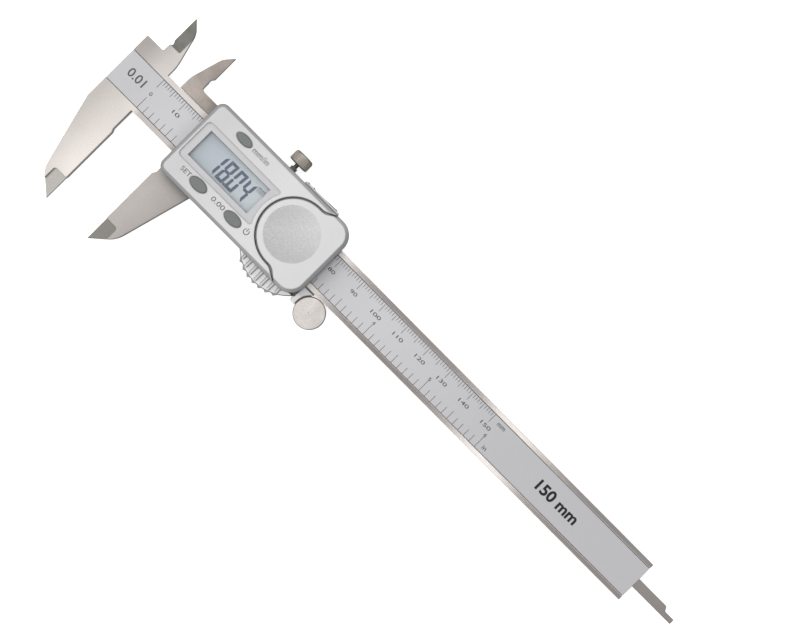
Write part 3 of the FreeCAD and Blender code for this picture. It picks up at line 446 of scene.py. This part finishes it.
def film(name, colour):
    """The scale's satin film: a faint lengthwise grain with a slight sheen, duller towards both ends."""
    f = Finish(name)
    grain = f.noise(7.0, 3.0, 0.6, (0.15, 1.0, 1.0))
    dust = f.noise(3.0, 4.0, 0.7)
    base = f.blend(f.remap(grain, 0.3, 0.7), tinted(colour, 0.97), tinted(colour, 1.03))
    dusty = f.blend(f.remap(dust, 0.62, 0.75, 0.0, 0.2), base, tinted(colour, 0.8))
    along = f.math("SUBTRACT", f.axis("X"), ZERO_X)
    # Darker towards both ends of the label.
    ends_darker = f.math("MINIMUM", f.fade(along, -5, 15, 0.88, 1.0), f.fade(along, 105, 160, 1.0, 0.88))
    # Painted shade in narrow gaps and where the label meets the housing.
    in_gap = f.remap(f.openness(1.5, 0.4, 0.9), 0.0, 1.0, 0.45, 1.0)
    f.colour(f.dimmed(dusty, f.math("MULTIPLY", ends_darker, in_gap)))
    f.roughness(f.remap(dust, 0.3, 0.7, 0.42, 0.5))
    f.bump(grain, 0.003, 0.3)
    f.put(Metallic=0.15)
    return f.material


def ink(name, colour, patchy=0.25):
    """Printed ink, thinner in places."""
    f = Finish(name)
    unevenness = f.noise(5.0, 4.0, 0.7)
    f.colour(f.blend(f.remap(unevenness, 0.45, 0.75, 0.0, patchy), colour, tinted(colour, 2.2)))
    f.roughness(f.remap(unevenness, 0.3, 0.7, 0.5, 0.65))
    f.put(Specular_IOR_Level=0.3)
    return f.material


def liquid_crystal(name, left, right):
    """The panel's pale face: an even tint that changes slowly along it, under a polarising film. It is
    paler at the right, partly its own tint and partly painted light against the shade that falls there.
    """
    f = Finish(name)
    along = f.remap(f.axis("X"), panel_low.x, panel_high.x)
    fleck = f.noise(9.0, 2.0, 0.6)
    tint = f.blend(along, left, right)
    f.colour(f.blend(f.remap(fleck, 0.4, 0.7, 0.0, 0.08), tint, tinted(left, 0.8)))
    f.roughness(f.remap(fleck, 0.3, 0.7, 0.26, 0.32))
    return f.material


def clear_window(name):
    """The hard-coated window, seen through but for its reflections and a few fine scuffs."""
    f = Finish(name)
    scuff = f.noise(2.0, 6.0, 0.8, (1.0, 0.2, 1.0))
    f.roughness(f.remap(scuff, 0.5, 0.8, 0.03, 0.2))
    f.colour(f.blend(scuff, (0.9, 0.93, 0.95), (1.0, 1.0, 1.0)))
    f.put(Alpha=0.06, IOR=1.49)
    return f.material


def circuit_board(name):
    """Green solder resist with copper tracks showing through as a slightly lighter pattern."""
    f = Finish(name)
    tracks = f.node("ShaderNodeTexBrick")
    tracks.inputs["Scale"].default_value = 0.4 / MM
    f.join(f.where, tracks.inputs["Vector"])
    grain = f.noise(8.0)
    base = f.blend(f.remap(grain, 0.3, 0.7), (0.012, 0.07, 0.03), (0.02, 0.10, 0.045))
    f.colour(f.blend(tracks.outputs["Fac"], base, (0.05, 0.19, 0.08)))
    f.roughness(f.remap(grain, 0.3, 0.7, 0.25, 0.4))
    f.bump(tracks.outputs["Fac"], 0.03, 0.5)
    return f.material


WARM_STEEL = (0.88, 0.83, 0.80)
# Painted shade: the slider's steel is a darker copy of the beam's, for the dimmer light on its jaws.
SLIDER_STEEL = (0.48, 0.455, 0.435)
SILVER = (0.745, 0.745, 0.755)
HEAD_LOW_POCKET = (0.545, 0.525, 0.50)
HEAD_HIGH_POCKET = (0.182, 0.178, 0.165)
JAW_LOW_POCKET = (0.27, 0.262, 0.245)
JAW_HIGH_POCKET = (0.385, 0.342, 0.312)

FINISHES = {
    "beam_steel": jaw_steel(
        "beam_steel", WARM_STEEL, 0.27, HEAD_LOW_POCKET, HEAD_HIGH_POCKET, 0.13, 0.85
    ),
    "slider_steel": jaw_steel(
        "slider_steel", SLIDER_STEEL, 0.30, JAW_LOW_POCKET, JAW_HIGH_POCKET, 0.2, 0.0, 0.2
    ),
    "rod_steel": ground_steel("rod_steel", (0.55, 0.51, 0.485), 0.34, (0.05, 1.0, 1.0)).material,
    "plate_steel": ground_steel("plate_steel", (0.66, 0.65, 0.64), 0.3, (1.0, 0.06, 1.0)).material,
    "screw_steel": ground_steel("screw_steel", (0.60, 0.60, 0.59), 0.28, (1.0, 1.0, 0.1)).material,
    "roller_steel": turned_steel("roller_steel", (0.93, 0.89, 0.85), 0.26, ROLLER_CENTRE),
    "lock_nickel": turned_steel("lock_nickel", (0.535, 0.48, 0.43), 0.32, LOCK_CENTRE, True, 1.6),
    "gib_brass": ground_steel("gib_brass", (0.70, 0.50, 0.22), 0.3, (0.06, 1.0, 1.0)).material,
    "strip_fibre": grained("strip_fibre", (0.16, 0.20, 0.10), 0.5, 5.0),
    "label_film": film("label_film", (0.69, 0.69, 0.71)),
    "housing_silver": silver_paint("housing_silver", SILVER).material,
    "lid_silver": dished_paint("lid_silver", SILVER),
    "bracket_silver": silver_paint("bracket_silver", (0.74, 0.74, 0.755), gap_shade=0.45).material,
    "seal_rubber": grained("seal_rubber", (0.18, 0.18, 0.175), 0.55, 5.0),
    "window_clear": clear_window("window_clear"),
    "lcd_panel": liquid_crystal("lcd_panel", (0.47, 0.54, 0.60), (0.62, 0.69, 0.725)),
    "holder_plastic": grained("holder_plastic", (0.03, 0.03, 0.032), 0.5),
    "connector_rubber": grained("connector_rubber", (0.30, 0.22, 0.23), 0.6, 8.0),
    "board_green": circuit_board("board_green"),
    "chip_resin": grained("chip_resin", (0.008, 0.008, 0.008), 0.2, 1.5),
    "switch_metal": ground_steel("switch_metal", (0.62, 0.62, 0.60), 0.25, (1.0, 1.0, 1.0)).material,
    "contact_metal": ground_steel("contact_metal", (0.66, 0.64, 0.57), 0.24, (1.0, 0.1, 1.0)).material,
    "cell_metal": turned_steel("cell_metal", (0.70, 0.70, 0.69), 0.2, CELL_CENTRE),
    "connector_block": grained("connector_block", (0.02, 0.02, 0.02), 0.45),
    "button_rubber": grained("button_rubber", (0.20, 0.216, 0.21), 0.5, 7.0, 0.012, 0.12),
}
INK = ink("scale_ink", (0.045, 0.045, 0.05))
LEGEND_INK = ink("legend_ink", (0.11, 0.11, 0.115))
BOLD_INK = ink("bold_ink", (0.018, 0.018, 0.02), 0.12)
SEGMENT_INK = ink("segment_ink", (0.05, 0.076, 0.145), 0.1)
FAINT_SEGMENT_INK = ink("faint_segment_ink", (0.14, 0.165, 0.24), 0.1)
# Painted shadow in the gaps round the keys.
KEY_SHADOW_INK = ink("key_shadow_ink", (0.265, 0.268, 0.275), 0.3)
# Painted shadow round the inside of the panel's view.
PANEL_SHADOW_INK = ink("panel_shadow_ink", (0.34, 0.345, 0.36), 0.3)
BORDER_PRINT = silver_paint("border_print", (0.64, 0.64, 0.655), 0.4, 0.3, 0.0, 0.0).material

slot_of = {s["node"]: s["material_slot"] for s in frame["record"]["subparts"]}
for node_name, piece in nodes.items():
    piece.data.materials.clear()
    piece.data.materials.append(FINISHES[slot_of[node_name]])
    for polygon in piece.data.polygons:
        polygon.material_index = 0


# Printed marks -----------------------------------------------------------------


class Print:
    """Thin raised marks gathered into one piece. Points are in mm from the zero and centre lines."""

    def __init__(self, low, thick_mm=0.02):
        self.low = low - thick_mm * MM / 4
        self.high = low + thick_mm * MM * 3 / 4
        self.points = []
        self.faces = []

    def prism(self, outline):
        """An outline, given anticlockwise, raised from the surface."""
        count = len(outline)
        first = len(self.points)
        for level in (self.low, self.high):
            self.points += [place(x, y, level) for x, y in outline]
        self.faces.append([first + i for i in reversed(range(count))])
        self.faces.append([first + count + i for i in range(count)])
        for i in range(count):
            j = (i + 1) % count
            self.faces.append([first + i, first + j, first + count + j, first + count + i])

    def bar(self, x0, x1, y0, y1):
        self.prism(((x0, y0), (x1, y0), (x1, y1), (x0, y1)))

    def ring(self, x, y, a, b, width, start=0.0, turn=360.0, steps=64):
        """An elliptical ring, or a part of one, with its outer half axes a and b."""
        closed = turn >= 360.0
        count = steps if closed else steps + 1
        first = len(self.points)
        for level in (self.low, self.high):
            for shrink in (0.0, width):
                for i in range(count):
                    angle = math.radians(start + turn * i / steps)
                    px = x + (a - shrink) * math.cos(angle)
                    py = y + (b - shrink) * math.sin(angle)
                    self.points.append(place(px, py, level))
        outer, inner, outer_top, inner_top = (first + count * k for k in range(4))
        for i in range(steps):
            j = (i + 1) % count
            self.faces.append([outer_top + i, outer_top + j, inner_top + j, inner_top + i])
            self.faces.append([outer + i, inner + i, inner + j, outer + j])
            self.faces.append([outer + i, outer + j, outer_top + j, outer_top + i])
            self.faces.append([inner + j, inner + i, inner_top + i, inner_top + j])
        if not closed:
            for i, flip in ((0, False), (steps, True)):
                face = [outer + i, outer_top + i, inner_top + i, inner + i]
                self.faces.append(face[::-1] if flip else face)

    def word(self, text, x, y, wide, high, weight=0.0):
        """Text fitted to a box wide by high mm, centred at x, y."""
        curve = bpy.data.curves.new("word", "FONT")
        curve.body = text
        curve.extrude = 0.5
        curve.offset = weight
        curve.resolution_u = 4
        holder = bpy.data.objects.new("word", curve)
        bpy.context.scene.collection.objects.link(holder)
        bpy.context.view_layer.update()
        settled = holder.evaluated_get(bpy.context.evaluated_depsgraph_get())
        mesh = bpy.data.meshes.new_from_object(settled)
        spots = [v.co.copy() for v in mesh.vertices]
        low = [min(p[k] for p in spots) for k in (0, 1)]
        high_end = [max(p[k] for p in spots) for k in (0, 1)]
        first = len(self.points)
        for p in spots:
            u = (p.x - low[0]) / (high_end[0] - low[0]) - 0.5
            v = (p.y - low[1]) / (high_end[1] - low[1]) - 0.5
            self.points.append(place(x + u * wide, y + v * high, self.high if p.z > 0 else self.low))
        self.faces += [[first + i for i in polygon.vertices] for polygon in mesh.polygons]
        bpy.data.objects.remove(holder)
        bpy.data.curves.remove(curve)
        bpy.data.meshes.remove(mesh)

    def finish(self, name, body, material):
        mesh = bpy.data.meshes.new(name)
        mesh.from_pydata([tuple(p) for p in self.points], [], self.faces)
        mesh.materials.append(material)
        mesh.validate()
        mesh.update()
        piece = bpy.data.objects.new(name, mesh)
        bpy.context.scene.collection.objects.link(piece)
        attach(piece, body)


# The scale on the beam ------------------------------------------------------------

LINE = 0.15
INCH = 25.4
MM_LINES = (3.3, 2.45, 1.45)
INCH_LINES = (4.4, 3.3, 2.6)
# Widths of numbers with one, two and three figures.
FIGURE_WIDE = {1: 0.95, 2: 2.7, 3: 4.1}
INCH_ONE_WIDE = 0.45


def scale_lines(name, step, last, lengths, side):
    """Lines from 0 on, ten to each step in mm, the longest on the step and the next longest halfway.

    They start at the label's upper edge (side 1) or its lower edge (side -1).
    """
    marks = Print(LABEL_TOP)
    for i in range(last + 1):
        length = lengths[0] if i % 10 == 0 else lengths[1] if i % 5 == 0 else lengths[2]
        x = i * step / 10
        ends = sorted((side * LABEL_HALF, side * (LABEL_HALF - length)))
        marks.bar(x - LINE / 2, x + LINE / 2, *ends)
    marks.finish(name, "beam", INK)


def scale_figures():
    """The figures and units beside the lines."""
    marks = Print(LABEL_TOP)
    for value in range(0, 151, 10):
        text = str(value)
        y = 1.2 if value else 0.0
        marks.word(text, value + 0.2, y, FIGURE_WIDE[len(text)], 1.25)
    for value in range(1, 7):
        wide = INCH_ONE_WIDE if value == 1 else FIGURE_WIDE[1]
        marks.word(str(value), value * INCH, -1.05, wide, 1.2)
    marks.word("mm", 154.1, 4.35, 3.1, 1.1)
    marks.word("in", 155.1, -4.2, 1.5, 1.4)
    marks.finish("scale_figures", "beam", INK)


def label_notes():
    """The resolution at the head and the range near the tail, in plain figures."""
    marks = Print(LABEL_TOP)
    marks.word("0.01", -6.6, 0.6, 6.6, 3.1, 0.012)
    marks.finish("resolution_note", "beam", LEGEND_INK)
    marks = Print(LABEL_TOP)
    marks.word("150 mm", 184.2, 0.1, 17.5, 4.0, 0.03)
    marks.finish("range_note", "beam", BOLD_INK)


# The display --------------------------------------------------------------------

PANEL_VIEW = (22.85, 48.85, -5.0, 5.5)
RIM_LEFT = 0.45
RIM_TOP = 0.25
RIM_FOOT = 0.15
BEAD = 0.15
WINDOW_ARC = 13.7
HORN = 0.7
HORN_LEAN = 0.9
BORDER_CORNER = 1.1
BORDER_DEEP = 0.3
BORDER_ROWS = 16

DIGIT_HIGH = 7.65
DIGIT_WIDE = 3.22
DIGIT_PITCH = 4.08
DIGIT_SLANT = 0.09
SEGMENT = 0.98
SEGMENT_GAP = 0.02
FIRST_DIGIT = 31.22
DIGIT_MIDDLE = -0.26
DECIMAL_POINT = (36.7, 37.45, -4.05, -3.2)
SEGMENTS_LIT = {"0": "abcdef", "1": "bc", "4": "bcfg", "8": "abcdefg"}


def segment_outline(kind):
    """One bar of a figure about the figure's centre, mitred at the corners and pointed at mid-height."""
    w, h = DIGIT_WIDE / 2, DIGIT_HIGH / 2
    t, g = SEGMENT / 2, SEGMENT_GAP
    if kind == "g":
        x = w - t - g
        return ((-x, 0), (t - x, -t), (x - t, -t), (x, 0), (x - t, t), (t - x, t))
    if kind in "ad":
        points = ((g - w, h), (g - w + 2 * t, h - 2 * t), (w - g - 2 * t, h - 2 * t), (w - g, h))
    else:
        points = ((w - t, g), (w, g + t), (w, h - g), (w - 2 * t, h - g - 2 * t), (w - 2 * t, g + t))
    across = -1 if kind in "ef" else 1
    over = -1 if kind in "cde" else 1
    points = tuple((x * across, y * over) for x, y in points)
    return points if across * over > 0 else points[::-1]


def display_figures():
    """The reading 18.04, in slanted seven-bar figures, and the small unit beside it."""
    marks = Print(PANEL_TOP, 0.03)
    for i, figure in enumerate("1804"):
        x = FIRST_DIGIT + i * DIGIT_PITCH
        for kind in SEGMENTS_LIT[figure]:
            outline = segment_outline(kind)
            marks.prism([(x + px + py * DIGIT_SLANT, py + DIGIT_MIDDLE) for px, py in outline])
    marks.bar(*DECIMAL_POINT)
    marks.finish("display_figures", "slider", SEGMENT_INK)
    unit = Print(PANEL_TOP, 0.03)
    unit.word("mm", 47.2, 2.95, 2.9, 1.85, 0.008)
    unit.finish("display_unit", "slider", FAINT_SEGMENT_INK)


def display_rim():
    """A painted shadow: a dark band along the inner edge round the panel's view, widest on the left."""
    x0, x1, y0, y1 = PANEL_VIEW
    marks = Print(PANEL_TOP + 0.12 * MM, 0.05)
    marks.bar(x0, x0 + RIM_LEFT, y0, y1)
    marks.bar(x0 + RIM_LEFT, x1, y1 - RIM_TOP, y1)
    marks.bar(x0 + RIM_LEFT, x1, y0, y0 + RIM_FOOT)
    marks.finish("display_rim", "slider", PANEL_SHADOW_INK)


def window_border():
    """The silver border round an opening for the panel, out under the bead that seals the window in.

    Its right side follows the battery lid's round seam, in short rows, and turns in at both corners.
    """
    x0, x1, y0, y1 = PANEL_VIEW
    left = (window_low.x - ZERO_X) / MM - BEAD
    low = (window_low.y - CENTRE_Y) / MM - BEAD
    high = (window_high.y - CENTRE_Y) / MM + BEAD
    cell_x = (CELL_CENTRE.x - ZERO_X) / MM
    cell_y = (CELL_CENTRE.y - CENTRE_Y) / MM
    radius = WINDOW_ARC - BEAD

    def right(y):
        """Where the border's right side lies, at y."""
        corner = max(0.0, HORN - min(y - low, high - y))
        return cell_x - math.sqrt(radius**2 - (y - cell_y) ** 2) - HORN_LEAN * corner

    cut = BORDER_CORNER
    marks = Print(window_high.z - BORDER_DEEP * MM, 0.05)
    marks.bar(left, x0, low + cut, high - cut)
    marks.prism(((left + cut, low), (x0, low), (x0, low + cut), (left, low + cut)))
    marks.prism(((left, high - cut), (x0, high - cut), (x0, high), (left + cut, high)))
    marks.bar(x0, x1, low, y0)
    marks.bar(x0, x1, y1, high)
    for i in range(BORDER_ROWS):
        a = low + (high - low) * i / BORDER_ROWS
        b = low + (high - low) * (i + 1) / BORDER_ROWS
        marks.prism(((x1, a), (right(a), a), (right(b), b), (x1, b)))
    marks.finish("window_border", "slider", BORDER_PRINT)


# The keys ---------------------------------------------------------------------

LEGEND_ROW = -9.1
POWER_X = 52.85
POWER_RADIUS = 1.05
POWER_LINE = 0.26
KEY_FLANGE = 0.65
KEY_GAP = 0.22


def key_legends():
    """Plain legends beside the keys: units, set, zero and a power mark."""
    marks = Print(COVER_TOP)
    marks.word("mm/in", 39.55, 10.8, 6.5, 2.0)
    marks.word("SET", 26.35, LEGEND_ROW, 3.9, 1.6)
    marks.word("0.00", 40.4, LEGEND_ROW, 5.3, 1.6)
    marks.ring(POWER_X, LEGEND_ROW, POWER_RADIUS, POWER_RADIUS, POWER_LINE, 125.0, 290.0, 40)
    marks.bar(POWER_X - POWER_LINE / 2, POWER_X + POWER_LINE / 2, LEGEND_ROW + 0.1, LEGEND_ROW + 1.35)
    marks.finish("key_legends", "slider", LEGEND_INK)


def key_surrounds():
    """A painted shadow: a dark ring in the gap round each key."""
    for key in ("units", "abs", "zero"):
        low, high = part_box(f"button_{key}")
        x = ((low.x + high.x) / 2 - ZERO_X) / MM
        y = ((low.y + high.y) / 2 - CENTRE_Y) / MM
        a = (high.x - low.x) / 2 / MM - KEY_FLANGE + KEY_GAP
        b = (high.y - low.y) / 2 / MM - KEY_FLANGE + KEY_GAP
        marks = Print(COVER_TOP - 0.12 * MM, 0.06)
        marks.ring(x, y, a + 0.03, b + 0.03, KEY_GAP)
        marks.finish(f"key_gap_shadow_{key}", "slider", KEY_SHADOW_INK)


scale_lines("millimetre_lines", 10, 150, MM_LINES, 1)
scale_lines("inch_lines", INCH, 60, INCH_LINES, -1)
scale_figures()
label_notes()
display_figures()
display_rim()
window_border()
key_legends()
key_surrounds()


# Studio ----------------------------------------------------------------------

FLOOR_WIDE = 12.0
HORIZON = 0.38
ZENITH = 0.30
TENT_LEVELS = ((0.2, 0.42), (0.35, 1.0), (0.85, 1.0), (0.93, 0.32))
TAIL_SHADE = (0.35, 0.85, 1.0, 0.35)
CAMERA_HIGH = 500.0
CAMERA_X = 85.8
CAMERA_Y = 5.7
CAMERA_ROLL = 45.2
CAMERA_LEAN = 2.388
LENS = 70.4


def floor():
    """A plain pale tabletop just under the caliper."""
    bpy.ops.mesh.primitive_plane_add(size=FLOOR_WIDE, location=(0, 0, -0.05 * MM))
    table = bpy.context.object
    table.name = "tabletop"
    f = Finish("tabletop")
    cloud = f.noise(0.01, 3.0, 0.5)
    f.colour(f.blend(cloud, (0.93, 0.93, 0.93), (0.97, 0.97, 0.97)))
    f.put(Roughness=0.8, Specular_IOR_Level=0.2, Emission_Color=(1, 1, 1, 1), Emission_Strength=0.75)
    table.data.materials.append(f.material)
    table.visible_diffuse = False
    table.visible_glossy = False


def sky():
    """A studio tent: bright round the sides, dimmer above, at the horizon and towards the tail."""
    world = bpy.data.worlds.new("tent")
    bpy.context.scene.world = world
    world.use_nodes = True
    tree = world.node_tree
    back = tree.nodes["Background"]
    direction = tree.nodes.new("ShaderNodeTexCoord").outputs["Generated"]
    parts = tree.nodes.new("ShaderNodeSeparateXYZ")
    tree.links.new(direction, parts.inputs[0])
    ramp_node = tree.nodes.new("ShaderNodeValToRGB")
    ramp = ramp_node.color_ramp
    tree.links.new(parts.outputs["Z"], ramp_node.inputs[0])
    ramp.elements[0].position = 0.0
    ramp.elements[0].color = (HORIZON, HORIZON, HORIZON, 1)
    ramp.elements[1].position = 1.0
    ramp.elements[1].color = (ZENITH, ZENITH, ZENITH, 1)
    for position, level in TENT_LEVELS:
        stop = ramp.elements.new(position)
        stop.color = (level, level, level, 1)
    tail_side = tree.nodes.new("ShaderNodeMapRange")
    for socket, number in zip(tail_side.inputs[1:5], TAIL_SHADE):
        socket.default_value = number
    tree.links.new(parts.outputs["X"], tail_side.inputs["Value"])
    darker = tree.nodes.new("ShaderNodeVectorMath")
    darker.operation = "SCALE"
    tree.links.new(ramp_node.outputs["Color"], darker.inputs[0])
    tree.links.new(tail_side.outputs["Result"], darker.inputs["Scale"])
    tree.links.new(darker.outputs[0], back.inputs["Color"])
    back.inputs["Strength"].default_value = 1.0


def softbox(name, x0, x1, y0, y1, high, level):
    """A flat light facing down over part of the caliper, its edges in mm and its height in metres."""
    data = bpy.data.lights.new(name, "AREA")
    data.shape = "RECTANGLE"
    data.size = (x1 - x0) * MM
    data.size_y = (y1 - y0) * MM
    data.energy = level * math.pi * data.size * data.size_y
    data.color = (1.0, 0.985, 0.97)
    lamp = bpy.data.objects.new(name, data)
    lamp.location = place((x0 + x1) / 2, (y0 + y1) / 2, high)
    bpy.context.scene.collection.objects.link(lamp)


def camera():
    """Almost straight above, leaning a little towards the tail, the beam running down to the right."""
    data = bpy.data.cameras.new("camera")
    data.lens = LENS
    data.sensor_width = 36.0
    eye = bpy.data.objects.new("camera", data)
    eye.location = place(CAMERA_X, CAMERA_Y, LABEL_TOP + CAMERA_HIGH * MM)
    eye.rotation_mode = "ZYX"
    eye.rotation_euler = (0, -math.radians(CAMERA_LEAN), math.radians(CAMERA_ROLL))
    bpy.context.scene.collection.objects.link(eye)
    bpy.context.scene.camera = eye


bpy.context.scene.view_settings.view_transform = "Standard"
floor()
sky()
softbox("key_softbox", -430, 70, -380, 380, high=0.62, level=0.8)
softbox("edge_softbox", 46, 78, -200, 200, high=0.6, level=0.5)
softbox("strip_softbox", 221, 270, -200, 200, high=0.62, level=1.1)
camera()
